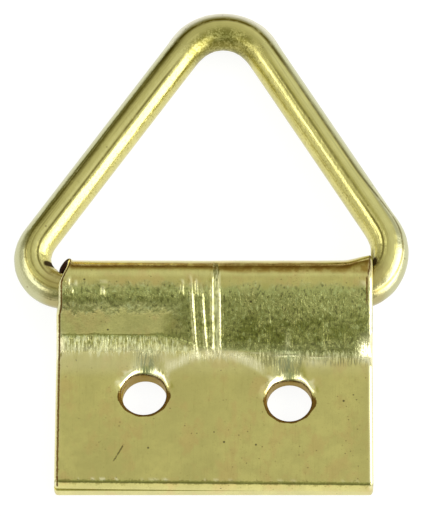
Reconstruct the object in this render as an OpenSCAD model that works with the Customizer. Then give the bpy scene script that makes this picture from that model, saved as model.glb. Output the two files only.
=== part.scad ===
// Triangle-ring picture hanger: a strip of thin brassed sheet is folded over the
// bottom bar of a bent wire ring, and two screws through both leaves hold it to a
// picture's back. The hanger lies on its back: +Z out of the front face, +Y towards
// the ring's top, and the origin on the back face, midway between the screw holes.

/* [Plate] */
// Width of the folded strip
plate_w = 17.5; // [14:0.5:26]
// Thickness of the sheet
sheet_t = 0.65; // [0.5:0.05:0.7]
// Gap between the two leaves where they lie together
leaf_gap = 0.05; // [0.02:0.01:0.1]
// Distance from the screw holes down to the back leaf's lower edge
hem_drop = 5.4; // [4:0.1:9]
// How far the front leaf stops short of the back leaf
hem_step = 0.1; // [0:0.05:0.4]
// Radius of the leaves' lower corners
hem_corner_r = 0.22; // [0.1:0.02:0.6]

/* [Barrel] */
// Distance from the screw holes up to the ring's bar
bar_rise = 6.25; // [6:0.05:9]
// Clearance between the bar and the rolled barrel
barrel_clearance = 0.05; // [0.03:0.01:0.1]
// Slope of the front leaf from the barrel down to the flat, in degrees
slope_angle = 39; // [36:1:50]
// Radius of the crease at the foot of the slope
crease_r = 0.5; // [0.3:0.05:0.9]
// How much thinner the sheet is along the slope, where the press draws it straight
slope_thinning = 0.02; // [0.01:0.01:0.05]
// How far each barrel end stands back from the leaf's side
barrel_setback = 0.12; // [0.1:0.01:0.3]
// Distance below the bar at which the narrow part of the fold begins
neck_drop = 1.3; // [1.1:0.05:2]
// Bevel inside each mouth of the barrel
mouth_bevel = 0.25; // [0.22:0.01:0.35]
// Depth of the relief notch over the left mouth
left_relief = 0.6; // [0.3:0.05:1]
// Depth of the relief notch over the right mouth
right_relief = 0.25; // [0.2:0.05:1]
// Radius of the relief notches
relief_r = 1.9; // [1.2:0.1:2.5]
// Tilt of the relief notches from straight out of the front, in degrees
relief_tilt = 40; // [30:1:50]

/* [Screw holes] */
// Diameter of each screw hole
screw_hole_d = 2.5; // [2:0.1:3.2]
// Distance between the screw holes across the plate
screw_spacing = 8.0; // [6:0.1:10]
// How much lower the right hole is pierced than the left
screw_skew = 0.36; // [0:0.02:0.5]
// How far the pair of holes sits right of the plate's middle
screw_shift = 0.12; // [0:0.02:0.5]
// Radius of the rolled rim that the punch leaves round each hole
rim_r = 0.16; // [0.08:0.02:0.25]

/* [Ring] */
// Diameter of the wire
wire_d = 2.0; // [1.6:0.1:2.2]
// Angle between the left leg and the bar, in degrees
left_leg_angle = 55.95; // [50:0.05:65]
// Angle between the right leg and the bar, in degrees
right_leg_angle = 59.2; // [50:0.05:65]
// How far inside the plate's left side the bar starts to bend
left_bend_inset = 0.44; // [0.3:0.02:0.45]
// How far inside the plate's right side the bar starts to bend
right_bend_inset = 0.4; // [0.3:0.02:0.45]
// Centreline radius of the left corner, on the bar's side
left_heel_r = 1.72; // [1.6:0.02:2.6]
// Centreline radius of the left corner, on the leg's side
left_shoulder_r = 2.04; // [1.6:0.02:3]
// Centreline radius of the right corner, on the bar's side
right_heel_r = 1.45; // [1.45:0.02:2.6]
// Centreline radius of the right corner, on the leg's side
right_shoulder_r = 4.4; // [2:0.05:4.8]
// Centreline radius of the bend at the top
top_bend_r = 2.55; // [1.6:0.05:4]
// How much thinner the stretched wire is round a corner than along a straight
bend_thinning = 0.03; // [0.02:0.01:0.06]
// Gap between the wire's two ends inside the barrel
butt_gap = 1.16; // [0.3:0.02:2]
// How far the gap lies left of the plate's middle
butt_shift = 0.5; // [0:0.05:2]

/* [Hidden] */
$fn = 96;

// One overrun serves all cuts
over = 0.4;
wire_r = wire_d / 2;
barrel_in = wire_r + barrel_clearance;
barrel_out = barrel_in + sheet_t;
// The barrel's back is flush with the back leaf
bar_z = barrel_out;
front_z = 2 * sheet_t + leaf_gap;
// The front leaf leaves the barrel as a straight slope, which ends in a crease
slope_fall = bar_z + barrel_out * cos(slope_angle) - front_z - crease_r * (1 - cos(slope_angle));
slope_run = slope_fall / sin(slope_angle);
// The slope runs this far on into the barrel and the crease, inside them
slope_lap = sheet_t / 8;
flat_y = bar_rise - (barrel_out + crease_r) * sin(slope_angle) - slope_run * cos(slope_angle);
hem_y = -hem_drop;
front_hem_y = hem_y + hem_step;
half_w = plate_w / 2;
// Large enough to reach past the whole section from any of its centres
pie_r = 4 * (barrel_out + crease_r);

// Share of each ring corner's turn that the leg's side takes
left_shoulder_share = 0.566;
right_shoulder_share = 0.3;
left_turn = 180 - left_leg_angle;
right_turn = 180 - right_leg_angle;
top_turn = left_leg_angle + right_leg_angle;

// A bend of two radii has two tangent lengths: near is on the side of the first radius
function near_tangent(r, turn, far_r, far_turn) =
    r * tan(turn / 2)
    + (r * tan(turn / 2) + far_r * tan(far_turn / 2)) * sin(far_turn) / sin(turn + far_turn);

left_heel_turn = left_turn * (1 - left_shoulder_share);
left_shoulder_turn = left_turn * left_shoulder_share;
right_heel_turn = right_turn * (1 - right_shoulder_share);
right_shoulder_turn = right_turn * right_shoulder_share;
left_heel_t = near_tangent(left_heel_r, left_heel_turn, left_shoulder_r, left_shoulder_turn);
left_leg_t = near_tangent(left_shoulder_r, left_shoulder_turn, left_heel_r, left_heel_turn);
right_heel_t = near_tangent(right_heel_r, right_heel_turn, right_shoulder_r, right_shoulder_turn);
right_leg_t = near_tangent(right_shoulder_r, right_shoulder_turn, right_heel_r, right_heel_turn);
top_t = top_bend_r * tan(top_turn / 2);

// The sharp triangle that the wire's centreline would make without its bends
left_corner = half_w - left_bend_inset + left_heel_t;
right_corner = half_w - right_bend_inset + right_heel_t;
ring_base = left_corner + right_corner;
left_leg = ring_base * sin(right_leg_angle) / sin(top_turn);
right_leg = ring_base * sin(left_leg_angle) / sin(top_turn);

left_bar_run = left_corner - left_heel_t - butt_shift - butt_gap / 2;
right_bar_run = right_corner - right_heel_t + butt_shift - butt_gap / 2;
// The ring leans back until its top rests on the surface that the plate lies on
top_arc_y = left_leg * sin(left_leg_angle)
    - top_bend_r / sin((180 - top_turn) / 2) * sin(left_leg_angle + (180 - top_turn) / 2)
    + top_bend_r;
top_wire_r = wire_r - bend_thinning / 2;
ring_lean = asin((bar_z - top_wire_r) / top_arc_y);

// The wire as it is bent, from the left end: straight length, bend radius, turn, and how
// many steps thinner the bend is. A heel is the tightest bend, so it is the thinnest.
WIRE = [
    [left_bar_run, left_heel_r, left_heel_turn, 2],
    [0, left_shoulder_r, left_shoulder_turn, 1],
    [left_leg - left_leg_t - top_t, top_bend_r, top_turn, 1],
    [right_leg - right_leg_t - top_t, right_shoulder_r, right_shoulder_turn, 1],
    [0, right_heel_r, right_heel_turn, 2],
    [right_bar_run, 0, 0, 0]
];
// Each bend runs this far on into its neighbours, inside them
bend_lap = wire_r / 10;

// A wedge of the section plane between two angles
module pie(from, to) {
    steps = 8;
    polygon(concat(
        [[0, 0]],
        [for (i = [0:steps]) let (a = from + (to - from) * i / steps)
            [pie_r * cos(a), pie_r * sin(a)]]
    ));
}

// A curved stretch of sheet between two radii and two angles
module curl(r_in, r_out, from, to) {
    intersection() {
        difference() {
            circle(r = r_out);
            circle(r = r_in);
        }
        pie(from, to);
    }
}

// The sheet's section, with the strip's length across and its height up
module plate_section() {
    translate([hem_y, 0])
        square([bar_rise - hem_y, sheet_t]);
    translate([bar_rise, bar_z])
        curl(barrel_in, barrel_out, -90, 90 + slope_angle);
    translate([bar_rise, bar_z])
        rotate(90 + slope_angle)
            translate([barrel_in + slope_thinning / 2, -slope_lap])
                square([sheet_t - slope_thinning, slope_run + 2 * slope_lap]);
    translate([flat_y, front_z + crease_r])
        curl(crease_r, crease_r + sheet_t, -90, slope_angle - 90);
    translate([front_hem_y, front_z - sheet_t])
        square([flat_y - front_hem_y, sheet_t]);
}

// A hole through both leaves, with the rolled rim on the front
module screw_hole() {
    hole_r = screw_hole_d / 2;
    translate([0, 0, -over])
        cylinder(d = screw_hole_d, h = front_z + 2 * over);
    translate([0, 0, front_z - rim_r])
        rotate_extrude()
            difference() {
                square([hole_r + rim_r, rim_r + over]);
                translate([hole_r + rim_r, 0])
                    circle(r = rim_r);
            }
}

// What rounds one lower corner: side is -1 for the left and 1 for the right
module hem_corner(side, edge_y) {
    translate([side * (half_w - hem_corner_r), edge_y + hem_corner_r])
        difference() {
            translate([side > 0 ? 0 : -hem_corner_r - over, -hem_corner_r - over])
                square([hem_corner_r + over, hem_corner_r + over]);
            circle(r = hem_corner_r);
        }
}

// What is cut from one end of the barrel, so that the ring's corner swings clear
module barrel_end_cut(side, relief) {
    setback_x = half_w - barrel_setback;
    mouth_x = setback_x - mouth_bevel;
    mouth_l = mouth_bevel + over;
    translate([side > 0 ? setback_x : -setback_x - over - barrel_setback,
        bar_rise - neck_drop, -over])
        cube([barrel_setback + over, neck_drop + barrel_out + over, 2 * barrel_out + 2 * over]);
    translate([side * mouth_x, bar_rise, bar_z])
        rotate([0, side * 90, 0])
            cylinder(r1 = barrel_in, r2 = barrel_in + mouth_l, h = mouth_l);
    translate([side * (half_w + relief_r - relief), bar_rise, bar_z])
        rotate([-relief_tilt, 0, 0])
            cylinder(r = relief_r, h = barrel_out + over);
}

// One strip folded over the ring's bar, pierced for two screws
module folded_plate() {
    color("darkkhaki")
        translate([-screw_shift, 0, 0])
            difference() {
                translate([-half_w, 0, 0])
                    rotate([90, 0, 90])
                        linear_extrude(height = plate_w)
                            plate_section();
                for (side = [-1, 1]) {
                    translate([screw_shift + side * screw_spacing / 2, -side * screw_skew / 2, 0])
                        screw_hole();
                    translate([0, 0, -over])
                        linear_extrude(height = over + sheet_t + leaf_gap / 2)
                            hem_corner(side, hem_y);
                    translate([0, 0, sheet_t + leaf_gap / 2])
                        linear_extrude(height = front_z)
                            hem_corner(side, front_hem_y);
                }
                barrel_end_cut(-1, left_relief);
                barrel_end_cut(1, right_relief);
            }
}

// A straight length of wire along X, its far end turned to the right, and so on
module bend_wire(i) {
    run = WIRE[i][0];
    bend_r = WIRE[i][1];
    turn = WIRE[i][2];
    bend_wire_r = wire_r - WIRE[i][3] * bend_thinning / 2;
    if (run > 0)
        rotate([0, 90, 0])
            cylinder(r = wire_r, h = run);
    if (turn > 0) {
        lap_turn = bend_lap / bend_r * 180 / PI;
        translate([run, -bend_r, 0])
            rotate([0, 0, 90 - turn - lap_turn])
                rotate_extrude(angle = turn + 2 * lap_turn)
                    translate([bend_r, 0])
                        circle(r = bend_wire_r);
    }
    if (i < len(WIRE) - 1)
        translate([run, -bend_r, 0])
            rotate([0, 0, -turn])
                translate([0, bend_r, 0])
                    bend_wire(i + 1);
}

// The bent wire, which starts at the gap and runs left along the bar
module triangle_ring() {
    color("khaki")
        translate([-screw_shift - butt_shift - butt_gap / 2, bar_rise, bar_z])
            rotate([-ring_lean, 0, 0])
                rotate([0, 0, 180])
                    bend_wire(0);
}

folded_plate();
triangle_ring();
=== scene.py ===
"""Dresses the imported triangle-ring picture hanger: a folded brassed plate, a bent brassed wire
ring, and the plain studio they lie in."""

import functools
import math
from types import SimpleNamespace

import bpy
import numpy as np
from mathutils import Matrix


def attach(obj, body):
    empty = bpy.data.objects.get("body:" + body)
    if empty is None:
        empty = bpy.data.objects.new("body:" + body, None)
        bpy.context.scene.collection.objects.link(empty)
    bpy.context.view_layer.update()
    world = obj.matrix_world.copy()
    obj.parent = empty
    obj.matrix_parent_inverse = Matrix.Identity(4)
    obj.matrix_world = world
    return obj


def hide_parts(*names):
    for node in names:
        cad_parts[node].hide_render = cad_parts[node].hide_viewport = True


bl_info = {
    "name": "Triangle-ring Picture Hanger",
    "version": (1, 0, 0),
    "blender": (4, 5, 0),
    "location": "View3D > Sidebar > Hanger",
    "description": "Folded brassed plate with a swinging triangular wire ring",
    "category": "Object",
}

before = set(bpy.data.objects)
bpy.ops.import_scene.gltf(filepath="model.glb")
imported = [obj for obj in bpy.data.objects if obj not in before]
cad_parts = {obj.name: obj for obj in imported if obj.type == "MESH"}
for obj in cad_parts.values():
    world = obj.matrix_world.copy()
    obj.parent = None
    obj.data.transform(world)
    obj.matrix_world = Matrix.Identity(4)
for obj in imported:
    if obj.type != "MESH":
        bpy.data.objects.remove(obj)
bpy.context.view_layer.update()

# Sizes below are worked out in millimetres and go into the meshes in metres.
MM = 0.001


def linear(hex_colour):
    """An sRGB hex colour as three linear values."""
    parts = [int(hex_colour[i : i + 2], 16) / 255 for i in (0, 2, 4)]
    return tuple(p / 12.92 if p <= 0.04045 else ((p + 0.055) / 1.055) ** 2.4 for p in parts)


def smooth(x, low, high):
    """Nought at low and before it, one from high on, and a smooth rise between them. Where low
    is the greater number, it is a smooth fall."""
    t = np.clip((x - low) / (high - low), 0.0, 1.0)
    return t * t * (3 - 2 * t)


def spread(low, high, step):
    """Evenly spaced values from low to high, about step apart."""
    return np.linspace(low, high, max(2, int(round((high - low) / step)) + 1))


def hump(x, centre, half_width):
    """A smooth bell that is one at centre and nought from half_width away."""
    t = np.clip(np.abs(x - centre) / half_width, 0.0, 1.0)
    return (1 - t * t) ** 2


def length(name, about, default, **more):
    """A size in the sidebar, kept in metres and given here in millimetres."""
    return bpy.props.FloatProperty(
        name=name, description=about, default=default * MM, unit="LENGTH", precision=5, **more
    )


def degrees(name, about, default):
    """An angle in the sidebar, given here in degrees."""
    return bpy.props.FloatProperty(
        name=name, description=about, default=math.radians(default), subtype="ANGLE"
    )


def colour(name, about, hex_colour):
    """A colour in the sidebar, given here as sRGB hex."""
    return bpy.props.FloatVectorProperty(
        name=name, description=about, default=linear(hex_colour), subtype="COLOR", min=0, max=1
    )


class HangerPlateSizes(bpy.types.PropertyGroup):
    """Sizes and colours of the folded plate."""

    width: length("Width", "Width of the folded strip", 17.5)
    thickness: length("Sheet", "Thickness of the sheet", 0.65)
    shift: length("Shift", "How far the plate's middle lies left of the screw holes' middle", 0.12)
    back_hem: length("Back hem", "Distance from the holes down to the back leaf's edge", 5.4)
    front_hem: length("Front hem", "Distance from the holes down to the front leaf's edge", 5.3)
    front_face: length("Front face", "Height of the front leaf's face above the back", 1.35)
    bar_y: length("Bar rise", "Distance from the holes up to the ring's bar", 6.25)
    bar_z: length("Bar height", "Height of the bar's centre above the back", 1.7)
    barrel_r: length("Barrel radius", "Outer radius of the rolled barrel", 1.7)
    left_slope: degrees("Left slope", "Slope of the front leaf's left half", 48.6)
    right_slope: degrees("Right slope", "Slope of the front leaf's right half", 36.2)
    crease_r: length("Crease radius", "Radius of the crease at the foot of the slope", 0.3)
    hole_d: length("Screw hole", "Diameter of each screw hole", 2.5)
    hole_spacing: length("Hole spacing", "Distance between the screw holes", 8.0)
    hole_skew: length("Hole skew", "How much lower the right hole is pierced", 0.36)
    rim_r: length("Hole rim", "Radius of the rolled rim round each hole", 0.16)
    brass: colour("Brass", "Colour of the brassed sheet", "D3CB80")


class HangerRingSizes(bpy.types.PropertyGroup):
    """Sizes and colours of the wire ring."""

    wire_d: length("Wire", "Diameter of the wire", 2.0)
    left_corner: length("Left corner", "From the plate's middle to the sharp left corner", 11.806)
    right_corner: length("Right corner", "From the plate's middle to the sharp right corner", 11.57)
    apex_x: length("Apex offset", "How far right of the plate's middle the apex lies", 0.619)
    apex_rise: length("Apex rise", "From the bar up to the sharp apex", 18.399)
    lean: degrees("Lean", "How far the ring leans back to rest on the surface", 2.5342)
    brass: colour("Brass", "Colour of the brassed wire", "D6CE84")


class HangerStudio(bpy.types.PropertyGroup):
    """The camera and the light."""

    tilt: degrees("Camera tilt", "How far the camera leans from straight above", 25)
    frame_height: length("Frame height", "Height of the picture at the object", 28.72)
    lens: bpy.props.FloatProperty(name="Lens", description="Focal length", default=800.0)
    right_lamp: bpy.props.FloatProperty(
        name="Right lamp", description="Strength of the large lamp on the right", default=3.2
    )
    left_lamp: bpy.props.FloatProperty(
        name="Left lamp", description="Strength of the small lamp on the left", default=2.2
    )


def grid_faces(ids):
    """Quads between neighbouring entries of a table of vertex numbers, leaving out any
    quad that has a corner without a number."""
    quads = np.stack([ids[:-1, :-1], ids[:-1, 1:], ids[1:, 1:], ids[1:, :-1]], -1).reshape(-1, 4)
    return quads[(quads >= 0).all(1)]


def make_piece(name, points_mm, quads, attributes=None):
    """Puts arrays of points and quads into a new mesh object at the origin."""
    mesh = bpy.data.meshes.new(name)
    mesh.vertices.add(len(points_mm))
    mesh.vertices.foreach_set("co", (points_mm * MM).astype(np.float32).ravel())
    mesh.loops.add(quads.size)
    mesh.loops.foreach_set("vertex_index", quads.astype(np.int32).ravel())
    mesh.polygons.add(len(quads))
    mesh.polygons.foreach_set("loop_start", np.arange(0, quads.size, 4, dtype=np.int32))
    mesh.polygons.foreach_set("loop_total", np.full(len(quads), 4, np.int32))
    mesh.polygons.foreach_set("use_smooth", np.ones(len(quads), bool))
    mesh.update(calc_edges=True)
    mesh.validate()
    for key, values in (attributes or {}).items():
        layer = mesh.attributes.new(key, "FLOAT", "POINT")
        layer.data.foreach_set("value", values.astype(np.float32))
    piece = bpy.data.objects.new(name, mesh)
    bpy.context.scene.collection.objects.link(piece)
    return piece


# ---- plate

# The strip's own length coordinate q is the back leaf's y up to the bar. Past the bar it goes
# on by one for each of barrel, slope, crease and the leaf's join, then by minus y down the
# front leaf. These are the zones' starts past the bar, and the y at which the leaf starts.
BARREL, SLOPE, CREASE, JOIN, LEAF = range(5)
JOIN_Y = 2.3
# Past the bar, where the front begins, and from where to where the mouths' notches reach.
FRONT = 0.4
CREST = (0.05, 1.2)
# Half the side of the square in the grid round each screw hole, and the cells along a side.
BLOCK = 2.0
BLOCK_CELLS = 28
# A distance beyond every edge.
FAR = 9.0
# How far the barrel's ends are set back, and the radius of the hem's corners.
SETBACK = 0.12
HEM_CORNER = 0.22
# How far the back leaf's two holes lie off the front ones, as the sheet was pierced before it
# was folded.
SLIPS = [(0.08, 0.08), (0.03, 0.2)]


def slope_at(p, x):
    """The front leaf's slope across the plate: steeper on the left of the wire's gap, with
    the small waves that the press left, and easing off towards the right end."""
    share = smooth(x, -3.3, 0.0)
    waves = 0.9 * np.sin(1.9 * x + 0.6) + 0.6 * np.sin(3.7 * x + 2.0) + 0.35 * np.sin(8.3 * x)
    waves = np.radians(waves * (0.3 + 0.05 * share))
    easing = np.radians(4.5) * np.clip(x / 8.6, 0, 1)
    return p.left_slope + share * (p.right_slope - p.left_slope) + waves - easing


def strip_section(p, x, q):
    """The strip's middle surface and outer normal in the section plane. In words: a straight
    back leaf, an arc about the bar, a straight slope tangent to it, a tight arc the other way,
    and a straight front leaf. Returns y, z, normal y, normal z."""
    half = p.thickness / 2
    mid_r = p.barrel_r - half
    nu = slope_at(p, x)
    crease_mid = p.crease_r + half
    fall = p.bar_z + p.barrel_r * np.cos(nu) - p.front_face
    run = (fall - p.crease_r * (1 - np.cos(nu))) / np.sin(nu)
    top_y = p.bar_y - mid_r * np.sin(nu)
    top_z = p.bar_z + mid_r * np.cos(nu)
    flat_z = p.front_face - half
    flat_y = top_y - run * np.cos(nu) - crease_mid * np.sin(nu)

    start = q - p.bar_y
    arc = np.radians(-90) + np.clip(start, 0, 1) * (np.radians(180) + nu)
    down = np.clip(start - SLOPE, 0, 1) * run
    bend = nu * (1 - np.clip(start - CREASE, 0, 1))
    join = np.clip(start - JOIN, 0, 1)
    zones = [start < zone for zone in (BARREL, SLOPE, CREASE, JOIN, LEAF)]
    ys = [
        q,
        p.bar_y + mid_r * np.cos(arc),
        top_y - down * np.cos(nu),
        flat_y + crease_mid * np.sin(bend),
        flat_y + join * (JOIN_Y - flat_y),
    ]
    zs = [
        half,
        p.bar_z + mid_r * np.sin(arc),
        top_z - down * np.sin(nu),
        flat_z + crease_mid * (1 - np.cos(bend)),
    ]
    normal = np.select(zones[1:4], [arc, np.pi / 2 + nu, np.pi / 2 + bend], np.pi / 2)
    y = np.select(zones, ys, JOIN_Y - (start - LEAF))
    z = np.select(zones[:4], zs, flat_z)
    return y, z, np.cos(normal), np.sin(normal)


def leaf_q(p, y, front):
    """The strip's coordinate q of a place y on the front or the back leaf."""
    return p.bar_y + LEAF + JOIN_Y - y if front else y


def plate_lines(p):
    """The grid's columns across the strip and rows along it, closer where the shape needs."""
    half_w = p.width / 2
    edge = np.array([0, 0.012, 0.03, 0.055, 0.085, 0.12, 0.16, 0.2, 0.25, 0.32, 0.42, 0.55])
    inner = half_w - edge[-1]
    block = np.linspace(-BLOCK, BLOCK, BLOCK_CELLS + 1)
    left, right = p.hole_x
    columns = [
        edge - half_w,
        spread(-inner, left - BLOCK, 0.08),
        left + block,
        spread(left + BLOCK, -1.45, 0.07),
        spread(-1.45, 0.6, 0.045),
        spread(0.6, right - BLOCK, 0.12),
        right + block,
        spread(right + BLOCK, inner, 0.16),
        half_w - edge,
    ]
    bar = p.bar_y
    hem = np.array([0, 0.012, 0.03, 0.055, 0.085, 0.12, 0.17, 0.25])
    back, front = -p.back_hem, -p.front_hem
    rows = [
        back + hem,
        spread(back + hem[-1], -BLOCK, 0.35),
        block,
        spread(BLOCK, bar, 0.4),
        spread(bar, bar + 0.4, 0.018),
        spread(bar + 0.4, bar + SLOPE, 0.010),
        spread(bar + SLOPE, bar + CREASE, 0.045),
        spread(bar + CREASE, bar + JOIN, 0.1),
        spread(bar + JOIN, bar + LEAF, 0.1),
        spread(bar + LEAF, leaf_q(p, BLOCK, True), 0.12),
        leaf_q(p, block, True),
        spread(leaf_q(p, -BLOCK, True), leaf_q(p, front + hem[-1], True), 0.16),
        leaf_q(p, front + hem, True),
    ]
    return [np.unique(np.concatenate(lines).round(6)) for lines in (columns, rows)]


def hole_patch(p, grid, centre, front):
    """Fills one square hole in the grid with rings that turn from the square into the screw
    hole's circle: each ring is a blend of the square's outline and a circle. Returns the
    square's vertex numbers and the rings' places."""
    ids, col, row, x, q = grid
    middle = p.hole_x[0 if centre[0] < 0 else 1]
    c0, c1 = np.searchsorted(col, (middle - BLOCK - 1e-4, middle + BLOCK - 1e-4))
    ends = np.sort([leaf_q(p, -BLOCK, front), leaf_q(p, BLOCK, front)])
    r0, r1 = np.searchsorted(row, ends - 1e-4)
    loop = np.concatenate(
        [ids[r0, c0:c1], ids[r0:r1, c1], ids[r1, c1:c0:-1], ids[r1:r0:-1, c0]]
    )
    ids[r0 + 1 : r1, c0 + 1 : c1] = -1
    x, q = x[loop], q[loop]
    mid_x, mid_q = centre[0], leaf_q(p, centre[1], front)
    angle = np.arctan2(q - mid_q, x - mid_x)
    radii = p.hole_d / 2 + np.array(
        [0.43, 0.36, 0.3, 0.25, 0.21, 0.18, 0.15, 0.12, 0.09, 0.065, 0.04, 0.02, 0.008, 0.0]
    )
    round_x = mid_x + radii[:, None] * np.cos(angle)
    round_q = mid_q + radii[:, None] * np.sin(angle)
    shares = np.array([0.4, 0.75])[:, None]
    rings_x = np.concatenate([x + shares * (round_x[0] - x), round_x])
    rings_q = np.concatenate([q + shares * (round_q[0] - q), round_q])
    return loop, rings_x, rings_q


def rounding(distance, radius, half):
    """Half the sheet's thickness, less what a rounded edge of that radius takes away at a
    distance inside the edge."""
    inside = np.clip(radius - distance, 0, radius)
    return half - radius + np.sqrt(np.maximum(radius**2 - inside**2, 0))


# Each mark: x from the plate's middle, y, half width in x, half length in y, height, all mm.
# The long ones are where the sheet lies over the wire's two cut ends.
MARKS = [
    (-1.17, 4.3, 0.085, 1.95, 0.046),
    (-0.98, 4.3, 0.10, 1.9, -0.030),
    (-0.59, 4.1, 0.070, 1.6, 0.038),
    (-0.42, 4.2, 0.08, 1.6, -0.028),
    (-0.32, 4.3, 0.07, 1.8, -0.022),
    (-0.11, 4.4, 0.075, 1.95, 0.046),
    (0.25, 4.4, 0.075, 1.85, 0.042),
    (0.40, 4.4, 0.08, 1.7, -0.022),
    (-1.00, 5.80, 0.07, 0.40, 0.036),
    (-8.20, 6.0, 0.12, 0.30, 0.07),
    (-7.98, 5.75, 0.1, 0.2, 0.055),
    (-7.72, 5.95, 0.1, 0.2, 0.035),
    (-6.17, 5.65, 0.09, 0.24, 0.06),
    (-6.12, 6.05, 0.2, 0.12, 0.030),
    (-1.80, 5.85, 0.09, 0.32, 0.055),
    (8.2, 5.95, 0.16, 0.2, 0.040),
    (4.05, 3.05, 0.08, 0.55, 0.080),
    (4.10, 2.46, 0.62, 0.07, 0.050),
    (5.75, 2.36, 0.55, 0.07, 0.050),
    (1.95, 2.62, 0.55, 0.05, 0.030),
    (-4.1, 3.35, 0.25, 0.05, 0.020),
    (-3.0, 3.3, 0.3, 0.06, 0.024),
    (-2.95, -1.28, 0.42, 0.05, 0.008),
]
# The sheet's waves, wide ones and short ripples along the crease: turns along x and y, phase.
WAVES = [(0.9, 0.7, 0.3), (-1.3, 1.1, 1.9), (0.35, -1.6, 4.0), (2.1, 0.4, 2.6)]
RIPPLES = [(6.1, 0.5, 0.4), (9.7, -0.8, 2.2), (-13.3, 0.6, 1.0), (17.9, 0.9, 3.4)]


def wave(x, y, turns, amount):
    """A few crossed sine waves, the shallow waviness of pressed sheet."""
    total = sum(np.sin(along_x * x + along_y * y + phase) for along_x, along_y, phase in turns)
    return amount * total / len(turns)


def mark_shape(x, y, mark):
    """One mark's share at a point: a bell across it and a flatter one along it. The long marks
    of the wire's left end lean, so that their lower ends lie further right."""
    mark_x, mark_y, half_x, half_y = mark[:4]
    lean = 0.09 if -1.5 < mark_x < -0.4 and half_y > 0.3 else 0.02
    across = x - mark_x + lean * (y - mark_y)
    return hump(across, 0, half_x * 1.6) * hump(y, mark_y, half_y * 1.2) ** 0.5


def pressed_height(x, y):
    """How far the front's outer face stands out or in from the plain strip: the marks, wide
    waves, and short ripples along the crease."""
    total = sum(mark[4] * mark_shape(x, y, mark) for mark in MARKS)
    total = total + wave(x, y, WAVES, 0.012) * smooth(y, -5.2, -4.4)
    return total + wave(x, y, RIPPLES, 0.012) * hump(y, 2.6, 1.1)


def hole_dish(p, x, y):
    """How far the front face is drawn down round the upper side of each hole: a shallow cone
    from the crease down to the rim, and a steeper lip at the rim that runs round both flanks."""
    total = 0 * x
    for hole_x, hole_y, aside in zip(p.hole_x, p.hole_y, (0.25, -0.05)):
        out = np.maximum(np.hypot(x - hole_x, y - hole_y) - p.hole_d / 2, 0)
        up = (y - hole_y) / (out + p.hole_d / 2)
        cone = 0.17 * np.clip(1 - out / 1.25, 0, 1) * hump(x, hole_x + aside, 1.2)
        uneven = 0.8 + 0.2 * np.sin(5.0 * np.arctan2(y - hole_y, x - hole_x) + 3 * hole_x)
        lip = 0.17 * np.clip(1 - out / (0.55 * uneven), 0, 1) ** 1.6
        total = total + cone * smooth(up, 0.4, 0.8) + lip * smooth(up, -0.05, 0.5)
    return total


def crease_ends(x, y, to_side):
    """One at the plate's edges where the crease runs out, falling to nought a little way in."""
    reach, middle = np.where(x < 0, 0.62, 1.05), np.where(x < 0, 3.10, 2.84)
    return np.clip(1 - to_side / reach, 0, 1) ** 1.6 * hump(y, middle, 0.95)


def bar_angle(p, y, z):
    """The direction from the bar's centre in degrees, 0 away from the holes and 90 outward."""
    return np.degrees(np.arctan2(z - p.bar_z, y - p.bar_y))


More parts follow.
